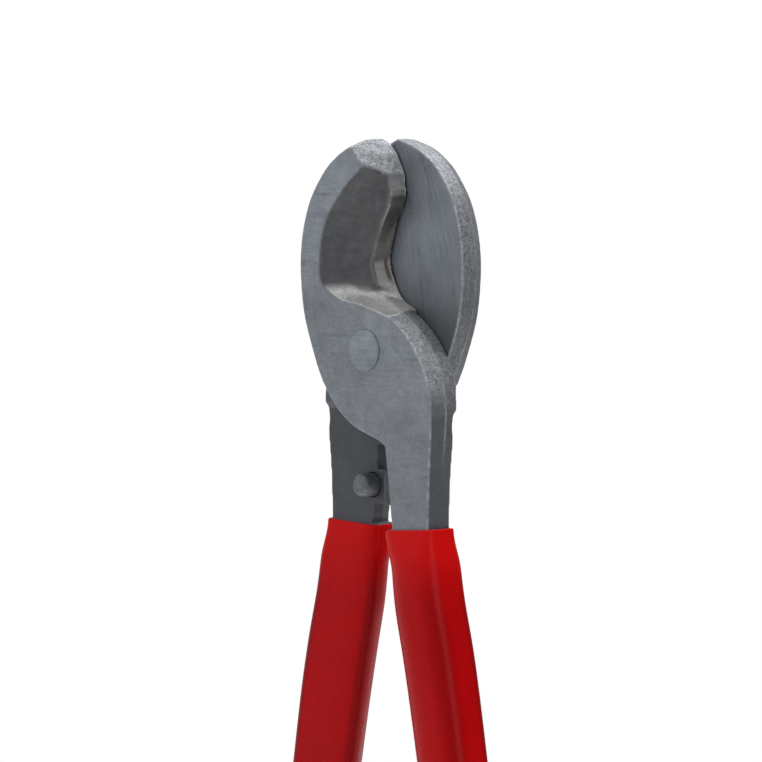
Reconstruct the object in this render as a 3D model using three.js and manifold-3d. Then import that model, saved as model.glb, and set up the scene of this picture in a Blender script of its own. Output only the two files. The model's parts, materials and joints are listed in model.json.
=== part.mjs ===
// Hand cable cutter of the shear type, closed, standing on its grips with the jaws up.
// Two forgings of one pattern lie back to back on a shear plane (Y = 0) and turn on a flush rivet.
// The front forging carries the left jaw and the right handle; the rear one is the same shape turned
// half a turn about the upright axis. Each has a hollow-ground bevel, a recessed neck with a stop pin,
// and a tang that is covered by a dipped grip. Units are millimetres, +Z up, -Y is the front.
import * as THREE from "three";
import { mergeVertices } from "three/addons/utils/BufferGeometryUtils.js";
import Module from "manifold-3d";

const wasm = await Module();
wasm.setup();

// Driving dimensions. Heights in the half's own frame are measured from the pivot axis.
const PIVOT_HEIGHT = 193; // pivot axis above the closed ends of the grips
const HALF_THICKNESS = 8.2; // one forging, from the shear plane to its ground outer face
const MATING_GAP = 0.1; // from the shear plane to each mating face
const NECK_FACE = 1.35; // depth of the neck's recessed face behind the shear plane
const PAD_BOTTOM = -13.3; // the ground mating pad ends here and the recess begins
const PARTING_DEPTH = 4.1; // depth of the forging's parting ridge behind the shear plane
const MATING_DRAFT = 0.88; // share of the ridge's width that is left at the mating face
const CLEAR = 30; // cutting blocks reach this far past the head on each side
const OVERRUN = 3; // the grinding wheel's space starts this far in front of the outer face
const EDGE_DEPTH = 3.7; // depth of the line where the hollow bevel meets the cutting bevel
const HOLLOW = 0.5; // how much the wheel hollows the wide bevel below a flat
const FIT_GAP = 0.3; // clearance between pieces that touch
const FULL_TURN = 2 * Math.PI;

const RIVET = { head: 4.45, shank: 3.75, taper: 2.0 }; // radii, and the depth of each flush head
const RIVET_FLUSH = 0.05; // the rivet's ends lie this far inside the ground faces
const STOP_PIN = { x: 7, z: -30.6, radius: 2.6, reach: 2.7, buried: 3.2, chamfer: 0.4 };
const STOP_BOSS = { left: 1.7, right: 9, bottom: -34.4, top: -27, back: 3.9, corner: 1.1 };
const NECK_END = -41; // the neck's outline ends here, inside the grip
const GRIP_TOP = -39.6;
const BEND = -54; // above this height the handle changes shape faster
const LIP_TILT = 0.06; // the lip is this much higher for each millimetre outwards
const TANG_END = -184;
const GRIP_END = -PIVOT_HEIGHT;
const GRIP_WALL = 2; // thickness of the dipped coating along the handle
const LIP_WALL = 0.9; // and at its thin upper lip

// Outline of the left jaw, the pivot disc and the right neck on the outer face.
// Each row is x, z and how far the parting ridge stands out beyond the outer face there.
const JAW_BACK = [
  [-2.2, 45.7, 1.1],
  [-5.4, 44.6, 1.3],
  [-9, 42.5, 1.8],
  [-13, 38.9, 2.3],
  [-17.7, 31.6, 2.4],
  [-20.1, 21.1, 2.4],
  [-19.2, 8.4, 2.4],
  [-15.6, -2.2, 1.8],
  [-13.2, -7.3, 1],
];
const DISC = [
  [-13.2, -7.3, 1],
  [-9.3, -12.4, 0.6],
  [-3.7, -16.8, 0.5],
  [4.2, -19.7, 0.6],
];
const NECK_INNER = [
  [4.2, -19.7, 0.6],
  [6.2, -20.9, 1.2],
  [6.8, -23.2, 1.7],
  [7.5, -28.4, 2],
  [8.9, NECK_END, 2],
];
const NECK_OUTER = [
  [19.7, NECK_END, 0],
  [20, -28.4, 0.1],
  [20.6, -14.5, 0.8],
  [20.1, -8.7, 1],
  [17.9, -2.7, 1.1],
  [13.3, 3.4, 1.1],
  [7.5, 7.9, 1.1],
];
const BLADE_WALL = [
  [8.4, 9.4, 0],
  [4.9, 11.5, 0],
  [0.9, 18.3, 0],
  [0.6, 21.4, 0],
  [2.2, 26.7, 0],
  [5.3, 32.7, 0],
  [5.8, 36.6, 0],
  [4.1, 42.2, 0],
  [1.3, 44.4, 0.5],
  [-2.2, 45.7, 1.1],
];

// The ground surfaces, as matching stations: the bevel's boundary on the outer face, the line
// between the two bevels, and the cutting edge on the shear plane. The first list is the
// unground wall at the tip, which starts in the air above it, the second the C-shaped bevel.
const TIP_STATIONS = [
  { face: [8, 62], line: [9, 62], edge: [10, 62] },
  { face: [-6.9, 47.9], line: [-4.5, 48.5], edge: [-2.9, 49] },
  { face: [-2.8, 43.4], line: [0.4, 43.3], edge: [2.6, 43.4] },
  { face: [-0.6, 40.9], line: [2.9, 38.7], edge: [4.9, 39.2] },
];
const BEVEL_STATIONS = [
  { face: [-0.6, 40.9], line: [2.9, 38.7], edge: [4.9, 39.2] },
  { face: [-8.1, 34.3], line: [3.6, 33], edge: [5.1, 33.2] },
  { face: [-12.9, 27.1], line: [0.9, 27.4], edge: [2.2, 27.2] },
  { face: [-14.4, 18.6], line: [-1.6, 20.2], edge: [0.3, 20.6] },
  { face: [-13.4, 14.2], line: [-1, 16.4], edge: [1, 16.6] },
  { face: [-8.4, 11.3], line: [-0.2, 14.4], edge: [2.5, 13.8] },
  { face: [-1.4, 10.1], line: [1.2, 12.2], edge: [4.6, 11.2] },
  { face: [7.4, 7.8], line: [7.8, 8.6], edge: [8.2, 9.2] },
];
const WHEEL_AXIS = { x: 25, z: 24 }; // every station is seen in order from this point

// Handle centreline, x against z, and its depth behind the shear plane.
const HANDLE_LINE = [
  [13, -30],
  [13.1, -42],
  [14.2, -54],
  [16.9, -66],
  [19.3, -78],
  [21.8, -92],
  [26.5, -120],
  [30.1, -150],
  [31.9, -180],
  [32.2, -193],
];
const HANDLE_DEPTH = 4.6;
const GRIP_SIZE = { width: 17.4, thickness: 11.8 };
const LIP_SIZE = { width: 15.3, thickness: 8.8 };
const SWELL_HEIGHT = 9; // the coating thickens to its full size over this height below the lip
const END_ROUND = 7; // height of the rounded closed end of a grip
const FACET = { across: 0.66, deep: 1.18 }; // the slanted facet's shares of half the width and thickness
const ROW_GAP = 6; // height between the last close row above the bend and the first below it

function manifoldOf(geometry) {
  const bare = geometry.clone();
  bare.deleteAttribute("normal");
  bare.deleteAttribute("uv");
  const merged = mergeVertices(bare, 1e-4);
  return new wasm.Manifold(
    new wasm.Mesh({
      numProp: 3,
      vertProperties: merged.attributes.position.array,
      triVerts: new Uint32Array(merged.index.array),
    }),
  );
}

function geometryOf(solid) {
  const mesh = solid.getMesh();
  const geometry = new THREE.BufferGeometry();
  geometry.setAttribute("position", new THREE.BufferAttribute(mesh.vertProperties, 3));
  geometry.setIndex(new THREE.BufferAttribute(mesh.triVerts, 1));
  geometry.computeVertexNormals();
  return geometry;
}

// A closed solid through matching rings of points, each ring closed and the two end rings capped.
// `flat` maps a ring's point to the plane in which the caps are triangulated.
function loft(rings, flat) {
  const size = rings[0].length;
  const faces = [];
  rings.slice(1).forEach((ring, row) => {
    for (let i = 0; i < size; i++) {
      const j = (i + 1) % size;
      const [a, b] = [row * size + i, row * size + j];
      faces.push([a, b, b + size], [a, b + size, a + size]);
    }
  });
  const last = (rings.length - 1) * size;
  const cap = (ring) => THREE.ShapeUtils.triangulateShape(ring.map(flat), []);
  const clockwise = THREE.ShapeUtils.isClockWise(rings[0].map(flat));
  cap(rings[0]).forEach(([a, b, c]) => faces.push(clockwise ? [a, b, c] : [a, c, b]));
  cap(rings.at(-1)).forEach(([a, b, c]) => {
    const face = clockwise ? [a, c, b] : [a, b, c];
    faces.push(face.map((i) => i + last));
  });
  const points = rings.flat();
  const same = (a, b) => points[a].distanceTo(points[b]) < 1e-6;
  const kept = faces.filter(([a, b, c]) => !same(a, b) && !same(b, c) && !same(c, a));
  const geometry = new THREE.BufferGeometry().setFromPoints(points);
  geometry.setIndex(kept.flat());
  const solid = manifoldOf(geometry);
  if (solid.volume() > 0) return solid;
  geometry.setIndex(kept.map(([a, b, c]) => [a, c, b]).flat());
  return manifoldOf(geometry);
}

// Points of a smooth curve through rows of numbers, with `steps` intervals to each row.
function through(rows, steps) {
  const at = (values) => new THREE.Vector3(values[0], values[1], values[2] ?? 0);
  const curve = new THREE.CatmullRomCurve3(rows.map(at), false, "catmullrom", 0.5);
  return curve.getPoints(steps * (rows.length - 1));
}

// The outline as points whose third number is the width of the parting ridge.
function halfOutline() {
  const edges = [
    through(JAW_BACK, 5),
    through(DISC, 4),
    through(NECK_INNER, 3),
    through(NECK_OUTER, 4),
    through(BLADE_WALL, 3),
  ];
  const points = edges.flat();
  return points.filter((point, i) => {
    const next = points[(i + 1) % points.length];
    return Math.hypot(point.x - next.x, point.y - next.y) > 1e-3;
  });
}

// The outline moved outwards by a share of its ridge width, at one depth behind the shear plane.
function outlineAt(outline, share, depth) {
  return outline.map((point, i) => {
    const before = outline[(i + outline.length - 1) % outline.length];
    const after = outline[(i + 1) % outline.length];
    const along = new THREE.Vector2(after.x - before.x, after.y - before.y).normalize();
    const grow = point.z * share;
    return new THREE.Vector3(point.x + along.y * grow, -depth, point.y - along.x * grow);
  });
}

// The block of air in front of the tip wall and the two bevels.
function groundSpace() {
  const rows = (name) => {
    const pick = (stations) => stations.map((station) => station[name]);
    return [...through(pick(TIP_STATIONS), 1), ...through(pick(BEVEL_STATIONS), 5).slice(1)];
  };
  const [face, line, edge] = ["face", "line", "edge"].map(rows);
  const tipCount = TIP_STATIONS.length - 1;
  const past = 1.15; // the cutting bevel runs on past the shear plane, so that it leaves no wall
  const rings = face.map((from, i) => {
    const hollow = i > tipCount ? HOLLOW : 0;
    const middle = from.clone().lerp(line[i], 0.5);
    const beyond = line[i].clone().lerp(edge[i], past);
    const point = (p, y) => new THREE.Vector3(p.x, y, p.y);
    const axis = { x: WHEEL_AXIS.x, y: WHEEL_AXIS.z };
    return [
      point(from, -HALF_THICKNESS - OVERRUN),
      point(from, -HALF_THICKNESS),
      point(middle, -(HALF_THICKNESS + EDGE_DEPTH) / 2 + hollow),
      point(line[i], -EDGE_DEPTH),
      point(beyond, EDGE_DEPTH * (past - 1)),
      point(axis, EDGE_DEPTH * (past - 1)),
      point(axis, -HALF_THICKNESS - OVERRUN),
    ];
  });
  const radial = (p) => new THREE.Vector2(Math.hypot(p.x - WHEEL_AXIS.x, p.z - WHEEL_AXIS.z), p.y);
  return loft(rings, radial);
}

// A turned solid about the pivot's direction: rows of radius and depth along Y, placed at x and z.
function turned(profile, x, z, segments) {
  const points = profile.map(([radius, y]) => new THREE.Vector2(radius, y));
  const geometry = new THREE.LatheGeometry(points, segments);
  return manifoldOf(geometry.translate(x, 0, z));
}

function rivetProfile(clearance) {
  const end = HALF_THICKNESS - RIVET_FLUSH + clearance;
  const waist = HALF_THICKNESS - RIVET.taper;
  return [
    [0, -end],
    [RIVET.head + clearance / 2, -end],
    [RIVET.shank + clearance / 2, -waist],
    [RIVET.shank + clearance / 2, waist],
    [RIVET.head + clearance / 2, end],
    [0, end],
  ];
}

// The front half's stop pin runs from its blind hole in the neck across the shear plane.
function pinSolid(clearance) {
  const radius = STOP_PIN.radius + clearance / 2;
  const tip = STOP_PIN.reach + clearance;
  const foot = -STOP_PIN.buried - clearance / 2;
  const profile = [
    [0, foot],
    [radius, foot],
    [radius, tip - STOP_PIN.chamfer],
    [radius - STOP_PIN.chamfer, tip],
    [0, tip],
  ];
  return turned(profile, STOP_PIN.x, STOP_PIN.z, 28);
}

// A prism along Y between two depths, from an outline in X and Z.
function prism(shape, nearDepth, farDepth) {
  const settings = { depth: farDepth - nearDepth, bevelEnabled: false, curveSegments: 3 };
  const geometry = new THREE.ExtrudeGeometry(shape, settings);
  return manifoldOf(geometry.rotateX(Math.PI / 2).translate(0, -nearDepth, 0));
}

function rectangle(left, bottom, right, top, radius = 0) {
  const shape = new THREE.Shape();
  if (!radius) {
    shape.moveTo(left, bottom).lineTo(right, bottom).lineTo(right, top).lineTo(left, top);
    return shape;
  }
  shape.moveTo(left + radius, bottom).lineTo(right, bottom).lineTo(right, top);
  shape.lineTo(left + radius, top);
  shape.absarc(left + radius, top - radius, radius, Math.PI / 2, Math.PI, false);
  shape.absarc(left + radius, bottom + radius, radius, Math.PI, 1.5 * Math.PI, false);
  return shape;
}

// One horizontal section of a handle: flat towards the other half, full on its outer side, and cut
// back on its inner side by a slanted facet. Corners are rounded, always with the same point count.
function handleSection(centre, z, { width, thickness, radius, slant }) {
  const [w, t] = [width / 2, thickness / 2];
  const corners = [
    [w, t],
    [w, -t],
    [-w * (1 - FACET.across * slant), -t],
    [-w, -t * (1 - FACET.deep * slant)],
    [-w, t],
  ];
  const steps = 4;
  return corners.flatMap((corner, i) => {
    const before = corners[(i + corners.length - 1) % corners.length];
    const after = corners[(i + 1) % corners.length];
    const towards = (other) => {
      const [dx, dy] = [other[0] - corner[0], other[1] - corner[1]];
      const length = Math.hypot(dx, dy);
      const reach = Math.min(radius, 0.48 * length) / length;
      return new THREE.Vector2(corner[0] + dx * reach, corner[1] + dy * reach);
    };
    const curve = new THREE.QuadraticBezierCurve(towards(before), new THREE.Vector2(...corner), towards(after));
    const place = (p) => new THREE.Vector3(centre + p.x, p.y - HANDLE_DEPTH, z + p.x * LIP_TILT);
    return curve.getPoints(steps).map(place);
  });
}

const handleCurve = new THREE.SplineCurve(HANDLE_LINE.map(([x, z]) => new THREE.Vector2(x, z)));
const handleSamples = handleCurve.getPoints(400);

function handleCentre(z) {
  const after = handleSamples.findIndex((point) => point.y <= z);
  if (after <= 0) return handleSamples.at(after).x;
  const [a, b] = [handleSamples[after - 1], handleSamples[after]];
  return THREE.MathUtils.mapLinear(z, a.y, b.y, a.x, b.x);
}

const blend = (z, top, bottom) => THREE.MathUtils.smoothstep(-z, -top, -bottom);

// Width, thickness, corner radius and slant of a grip's outside at a height.
function gripSize(z) {
  const swell = blend(z, GRIP_TOP, GRIP_TOP - SWELL_HEIGHT);
  const waist = 0.5 * (blend(z, -70, -110) - blend(z, -130, -175));
  const end = Math.max(0, (GRIP_END + END_ROUND - z) / END_ROUND);
  const closing = Math.sqrt(Math.max(1 - end * end, 0.02));
  const width = THREE.MathUtils.lerp(LIP_SIZE.width, GRIP_SIZE.width, swell) - waist;
  const thickness = THREE.MathUtils.lerp(LIP_SIZE.thickness, GRIP_SIZE.thickness, swell) - waist;
  return {
    width: width * closing,
    thickness: thickness * closing,
    radius: THREE.MathUtils.lerp(1.3, 3.7, swell) * closing,
    slant: THREE.MathUtils.lerp(0.42, 1, swell),
  };
}

// The tang is the grip's outside less the coating, and it narrows to a blunt end.
function tangSize(z, clearance) {
  const outside = gripSize(Math.max(z, GRIP_END + END_ROUND));
  const swell = blend(z, GRIP_TOP, GRIP_TOP - SWELL_HEIGHT);
  const wall = 2 * THREE.MathUtils.lerp(LIP_WALL, GRIP_WALL, swell) - clearance;
  return {
    width: outside.width - wall,
    thickness: outside.thickness - wall,
    radius: THREE.MathUtils.lerp(0.4, 2.4, swell),
    slant: outside.slant,
  };
}

function handleLoft(heights, size) {
  const rings = heights.map((z) => handleSection(handleCentre(z), z, size(z)));
  return loft(rings, (p) => new THREE.Vector2(p.x, p.y));
}

const steps = (from, to, count) => Array.from({ length: count + 1 }, (_, i) => from + ((to - from) * i) / count);

function forgedHalf() {
  const outline = halfOutline();
  const face = outlineAt(outline, 0, HALF_THICKNESS);
  const ridge = outlineAt(outline, 1, PARTING_DEPTH);
  const mating = outlineAt(outline, MATING_DRAFT, MATING_GAP);
  const plate = loft([face, ridge, mating], (p) => new THREE.Vector2(p.x, p.z));
  const recess = prism(rectangle(-CLEAR, PAD_BOTTOM - CLEAR, CLEAR, PAD_BOTTOM), -MATING_GAP, NECK_FACE);
  const { left, bottom, right, top, back, corner } = STOP_BOSS;
  const boss = prism(rectangle(left, bottom, right, top, corner), NECK_FACE, back);
  const tangHeights = [...steps(NECK_END + 2, BEND, 6), ...steps(BEND - ROW_GAP, TANG_END, 14)];
  const tang = handleLoft(tangHeights, (z) => tangSize(z, 0));
  const rivetHole = turned(rivetProfile(FIT_GAP), 0, 0, 40);
  return plate
    .subtract(groundSpace())
    .subtract(recess)
    .add(boss)
    .add(tang)
    .subtract(rivetHole)
    .subtract(pinSolid(FIT_GAP));
}

function grip() {
  const round = steps(0, 1, 6).map((s) => GRIP_END + END_ROUND * (1 - Math.sin((s * Math.PI) / 2)));
  const lip = gripSize(GRIP_TOP);
  const lipRing = { ...lip, width: lip.width - 0.5, thickness: lip.thickness - 0.5 };
  const upper = steps(GRIP_TOP - 0.5, BEND, 7);
  const lower = steps(BEND - ROW_GAP, GRIP_END + END_ROUND + 6, 13);
  const outside = handleLoft([GRIP_TOP, ...upper, ...lower, ...round], (z) => {
    return z === GRIP_TOP ? lipRing : gripSize(z);
  });
  const pocketHeights = [GRIP_TOP + 2, ...steps(GRIP_TOP, BEND, 7), ...steps(BEND - ROW_GAP, TANG_END - FIT_GAP, 14)];
  const pocket = handleLoft(pocketHeights, (z) => tangSize(z, 2 * FIT_GAP));
  return outside.subtract(pocket);
}

const steel = () => new THREE.MeshStandardMaterial({ color: 0x8d949b, roughness: 0.48, metalness: 0.9 });
const pinSteel = () => new THREE.MeshStandardMaterial({ color: 0xa2a5ab, roughness: 0.6, metalness: 0.85 });
const red = () => new THREE.MeshStandardMaterial({ color: 0xc8100e, roughness: 0.28, metalness: 0 });

function named(name, solid, material) {
  const mesh = new THREE.Mesh(geometryOf(solid), material);
  mesh.name = name;
  return mesh;
}

// The pieces of one half, in the place of the front half.
function halfGroup(side, forging, pin, coating) {
  const group = new THREE.Group();
  group.add(named(`${side}_blade_half`, forging, steel()));
  group.add(named(`${side}_stop_pin`, pin, pinSteel()));
  group.add(named(`${side}_grip`, coating, red()));
  return group;
}

const forging = forgedHalf();
const stopPin = pinSolid(0);
const coating = grip();
const front = halfGroup("front", forging, stopPin, coating);
const rear = halfGroup("rear", forging, stopPin, coating);
rear.rotation.z = FULL_TURN / 2;

const cableCutter = new THREE.Group();
cableCutter.add(front, rear, named("pivot_rivet", turned(rivetProfile(0), 0, 0, 40), pinSteel()));
cableCutter.position.z = PIVOT_HEIGHT;

export default cableCutter;
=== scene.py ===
"""Hand cable cutter: two forged shear halves on a flush rivet, with stop pins and dipped grips."""

import json
import math

import bmesh
import bpy
import numpy as np
from mathutils import Matrix, Vector, noise


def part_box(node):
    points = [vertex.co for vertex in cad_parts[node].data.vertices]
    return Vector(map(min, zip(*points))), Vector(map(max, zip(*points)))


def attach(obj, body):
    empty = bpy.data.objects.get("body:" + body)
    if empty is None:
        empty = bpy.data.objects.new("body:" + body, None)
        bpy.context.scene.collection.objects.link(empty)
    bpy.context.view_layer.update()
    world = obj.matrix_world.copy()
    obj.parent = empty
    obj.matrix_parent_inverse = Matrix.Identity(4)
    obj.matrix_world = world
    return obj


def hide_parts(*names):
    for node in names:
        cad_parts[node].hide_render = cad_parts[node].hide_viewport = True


bl_info = {
    "name": "Cable Cutter",
    "version": (1, 0, 0),
    "blender": (4, 5, 0),
    "location": "View3D > Sidebar > Cable Cutter",
    "description": "Builds a hand cable cutter piece by piece around its packed frame",
    "category": "Object",
}

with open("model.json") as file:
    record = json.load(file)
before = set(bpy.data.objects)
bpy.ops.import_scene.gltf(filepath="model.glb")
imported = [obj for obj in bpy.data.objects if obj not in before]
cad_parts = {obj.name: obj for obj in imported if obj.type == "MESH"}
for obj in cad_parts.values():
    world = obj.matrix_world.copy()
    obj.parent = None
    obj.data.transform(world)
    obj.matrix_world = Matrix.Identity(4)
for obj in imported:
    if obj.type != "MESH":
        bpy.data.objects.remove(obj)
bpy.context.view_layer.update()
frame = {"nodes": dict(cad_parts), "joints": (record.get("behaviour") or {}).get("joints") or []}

MM = 0.001
SIDES = {"front": 1, "rear": -1}  # the rear half is the front one turned half a turn about Z
PIVOT = Vector(frame["joints"][0]["pos_m"])
THICKNESS = -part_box("front_blade_half")[0][1]  # shear plane to ground outer face
RIVET_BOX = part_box("pivot_rivet")
PIN_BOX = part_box("front_stop_pin")

# Handle centreline: x against height from the pivot, in metres.
HANDLE_LINE = [
    (0.0130, -0.030),
    (0.0131, -0.042),
    (0.0142, -0.054),
    (0.0169, -0.066),
    (0.0193, -0.078),
    (0.0218, -0.092),
    (0.0265, -0.120),
    (0.0301, -0.150),
    (0.0319, -0.180),
    (0.0322, -0.193),
]
HANDLE_DEPTH = 4.6 * MM  # shear plane to the middle of a tang and its grip
TANG_STEPS = 11
SHANK_END, HEAD_START = 0.75, 0.78  # where the rivet narrows, as shares of the thickness
SHANK_WIDTH = 0.82  # the rivet's shank, as a share of its head
PIN_ROUND, PIN_BUMPS = 0.95 * MM, 0.14 * MM
CORNER_REACH = (0.6, 1.1, 1.0, 1.0, 1.5)  # share of the radius at each corner of a grip's section
WHEEL_AXIS = (0.025, 0.024)  # the hollow bevel faces this point, x and height from the pivot
SWING_AXIS = 0.085  # x of the point that the mating faces' grinding marks swing round
EDGE_LEAD = 0.25 * MM  # the hollow of each cutting edge is drawn this far past the other's

# Places on a forged half, in millimetres from the pivot, with the softening's reach.
SHOULDER = ((20.6, -0.7, -13.3), 6)
JAW_TIP = ((0.6, -6.2, 41.2), 3.4)
EDGE_HOLLOW = ((0.4, 0, 10.3), 5)
RIDGE_DEPTH = 4.1  # shear plane to the parting ridge

# Stretches of the grinding marks along X, Y and Z, or along radius, angle and depth.
FACE_MARKS = (150.0, 150.0, 2100.0)
MATING_MARKS = (1500.0, 11.0, 100.0)
BEVEL_MARKS = (160.0, 55.0, 160.0)

LIGHTS = (  # name, place, size and power
    ("overhead", (0.08, 0.26, 1.08), (0.75, 0.75), 12.0),
    ("front_top", (-0.3, -0.6, 0.95), (0.5, 0.4), 1.3),
    ("side_window", (0.95, -0.2, 0.45), (0.5, 0.7), 2.6),
)
BRIGHT_SIDE = (-0.72, -0.58, 0.3)  # direction of the studio's strongest soft light
AIM_LEFT, AIM_DOWN = 2.07 * MM, 7.1 * MM  # middle of the view, from the pivot


# ---------------------------------------------------------------- settings


class CutterSizes(bpy.types.PropertyGroup):
    """Sizes of the details that stand on the frame's pieces."""

    grain: bpy.props.FloatProperty(
        name="Surface grid",
        description="Mesh size on the forgings",
        default=0.28 * MM,
        unit="LENGTH",
    )
    rounding: bpy.props.IntProperty(
        name="Edge rounding",
        description="Smoothing passes over the forgings' edges",
        default=3,
        min=0,
    )
    tang_cut: bpy.props.FloatProperty(
        name="Tang start",
        description="Height from the pivot where the tang is drawn on",
        default=-44.5 * MM,
        unit="LENGTH",
    )
    tang_end: bpy.props.FloatProperty(
        name="Tang end",
        description="Height from the pivot of the tang's blunt end",
        default=-183 * MM,
        unit="LENGTH",
    )
    lip_height: bpy.props.FloatProperty(
        name="Lip height",
        description="Height from the pivot of the grip's upper lip",
        default=-39.6 * MM,
        unit="LENGTH",
    )
    lip_tilt: bpy.props.FloatProperty(
        name="Lip tilt",
        description="Rise of the lip towards the outside of the handle",
        default=0.06,
    )
    grip_width: bpy.props.FloatProperty(
        name="Grip width",
        description="Full width of a grip",
        default=17.4 * MM,
        unit="LENGTH",
    )
    grip_thickness: bpy.props.FloatProperty(
        name="Grip thickness",
        description="Full thickness of a grip",
        default=11.8 * MM,
        unit="LENGTH",
    )
    coating: bpy.props.FloatProperty(
        name="Coating",
        description="Thickness of the dipped coating",
        default=2 * MM,
        unit="LENGTH",
    )
    ripple: bpy.props.FloatProperty(
        name="Coating ripple",
        description="Unevenness of the dipped surface",
        default=0.07 * MM,
        unit="LENGTH",
    )


class CutterColours(bpy.types.PropertyGroup):
    """Base colours of the finishes, and of the painted light on the bevel's foot."""

    ground: bpy.props.FloatVectorProperty(
        name="Ground steel",
        description="Flat ground faces",
        default=(0.232, 0.253, 0.277),
        size=3,
        subtype="COLOR",
    )
    blasted: bpy.props.FloatVectorProperty(
        name="Blasted steel",
        description="Blasted forging walls",
        default=(0.205, 0.211, 0.224),
        size=3,
        subtype="COLOR",
    )
    # The forged colour also paints shade on the lower mating faces.
    forged: bpy.props.FloatVectorProperty(
        name="Forged steel",
        description="Dark scale on the necks",
        default=(0.056, 0.06, 0.065),
        size=3,
        subtype="COLOR",
    )
    bevel: bpy.props.FloatVectorProperty(
        name="Bevel",
        description="Hollow-ground bevel",
        default=(0.08, 0.08, 0.082),
        size=3,
        subtype="COLOR",
    )
    cutting: bpy.props.FloatVectorProperty(
        name="Cutting bevel",
        description="Polished band at the edge",
        default=(0.075, 0.073, 0.07),
        size=3,
        subtype="COLOR",
    )
    # Painted light: the bevel's upward-facing foot is coloured brighter, where the overhead light
    # falls on it.
    painted_foot_light: bpy.props.FloatVectorProperty(
        name="Bevel foot",
        description="Brighter upward sweep at the foot of the bevel",
        default=(0.40, 0.392, 0.38),
        size=3,
        subtype="COLOR",
    )
    worn: bpy.props.FloatVectorProperty(
        name="Worn edge",
        description="Bare metal along worn edges",
        default=(0.50, 0.51, 0.53),
        size=3,
        subtype="COLOR",
    )
    grip: bpy.props.FloatVectorProperty(
        name="Grip",
        description="Dipped vinyl",
        default=(0.352, 0.0012, 0.0024),
        size=3,
        subtype="COLOR",
    )


class CutterStage(bpy.types.PropertyGroup):
    """Camera and studio."""

    azimuth: bpy.props.FloatProperty(
        name="Azimuth",
        description="Camera's turn to the tool's right",
        subtype="ANGLE",
        default=math.radians(45),
    )
    elevation: bpy.props.FloatProperty(
        name="Elevation",
        description="Camera's height angle",
        subtype="ANGLE",
        default=math.radians(3.3),
    )
    distance: bpy.props.FloatProperty(
        name="Distance",
        description="Camera to the pivot's plane",
        default=1.5,
        unit="LENGTH",
    )
    frame_width: bpy.props.FloatProperty(
        name="Frame width",
        description="Width of the view at the tool",
        default=0.16933,
        unit="LENGTH",
    )
    floor_radius: bpy.props.FloatProperty(
        name="Floor radius",
        description="Radius of the pale floor",
        default=0.6,
        unit="LENGTH",
    )


# ---------------------------------------------------------------- mesh helpers


def deselect_all():
    if bpy.context.object and bpy.context.object.mode != "OBJECT":
        bpy.ops.object.mode_set(mode="OBJECT")
    bpy.ops.object.select_all(action="DESELECT")


def only(obj):
    deselect_all()
    obj.select_set(True)
    bpy.context.view_layer.objects.active = obj


def edit(obj):
    """Enters edit mode with everything on obj selected."""
    only(obj)
    bpy.ops.object.mode_set(mode="EDIT")
    bpy.ops.mesh.select_all(action="SELECT")


def apply_modifier(obj, kind, **settings):
    only(obj)
    modifier = obj.modifiers.new(kind.title(), kind)
    for name, value in settings.items():
        setattr(modifier, name, value)
    bpy.ops.object.modifier_apply(modifier=modifier.name)


def settle(obj):
    """Puts the object's place into its mesh."""
    only(obj)
    bpy.ops.object.transform_apply(location=True, rotation=True, scale=True)


def finished(obj, name, body, node, material):
    """Names a piece, gives it its finish and lets it stand for its node."""
    obj.name = name
    obj.data.name = name
    obj.data.materials.clear()
    obj.data.materials.append(material)
    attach(obj, body)
    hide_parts(node)


def arrays(mesh):
    """Vertex places and normals as numpy rows."""
    count = len(mesh.vertices)
    places, normals = np.empty(count * 3), np.empty(count * 3)
    mesh.vertices.foreach_get("co", places)
    mesh.vertices.foreach_get("normal", normals)
    return places.reshape(-1, 3), normals.reshape(-1, 3)


def smooth_step(low, high, values):
    share = np.clip((values - low) / (high - low), 0, 1)
    return share * share * (3 - 2 * share)


def store(mesh, name, values):
    layer = mesh.attributes.new(name, "FLOAT", "POINT")
    layer.data.foreach_set("value", values.astype(np.float32))


def edge_sharpness(mesh, places, normals):
    """How sharply the surface bends outwards at each vertex, per metre, with 0 on a flat."""
    count = len(mesh.edges)
    ends = np.empty(count * 2, dtype=np.int64)
    mesh.edges.foreach_get("vertices", ends)
    a, b = ends.reshape(-1, 2).T
    apart = places[b] - places[a]
    length = np.maximum((apart**2).sum(1), 1e-12)
    bend = ((normals[b] - normals[a]) * apart).sum(1) / length
    total, number = np.zeros(len(places)), np.zeros(len(places))
    for end in (a, b):
        np.add.at(total, end, bend)
        np.add.at(number, end, 1)
    return total / np.maximum(number, 1)


# ---------------------------------------------------------------- forgings


def handle_x(height):
    """x of the handle's centreline at a height from the pivot."""
    xs, zs = zip(*HANDLE_LINE)
    spline_z = np.linspace(zs[0], zs[-1], 400)
    fit = smooth_curve(np.array(zs), np.array(xs), spline_z)
    return float(np.interp(-height, -spline_z, fit))


def smooth_curve(knots, values, at):
    """Smooth curve through values at falling knots, evaluated at the places in at."""
    slopes = np.gradient(values, knots)
    result = []
    for place in at:
        i = int(np.clip(np.searchsorted(-knots, -place) - 1, 0, len(knots) - 2))
        span = knots[i + 1] - knots[i]
        t = (place - knots[i]) / span
        start, end = values[i], values[i + 1]
        result.append(
            (2 * t**3 - 3 * t**2 + 1) * start
            + (t**3 - 2 * t**2 + t) * span * slopes[i]
            + (3 * t**2 - 2 * t**3) * end
            + (t**3 - t**2) * span * slopes[i + 1]
        )
    return np.array(result)


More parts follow.
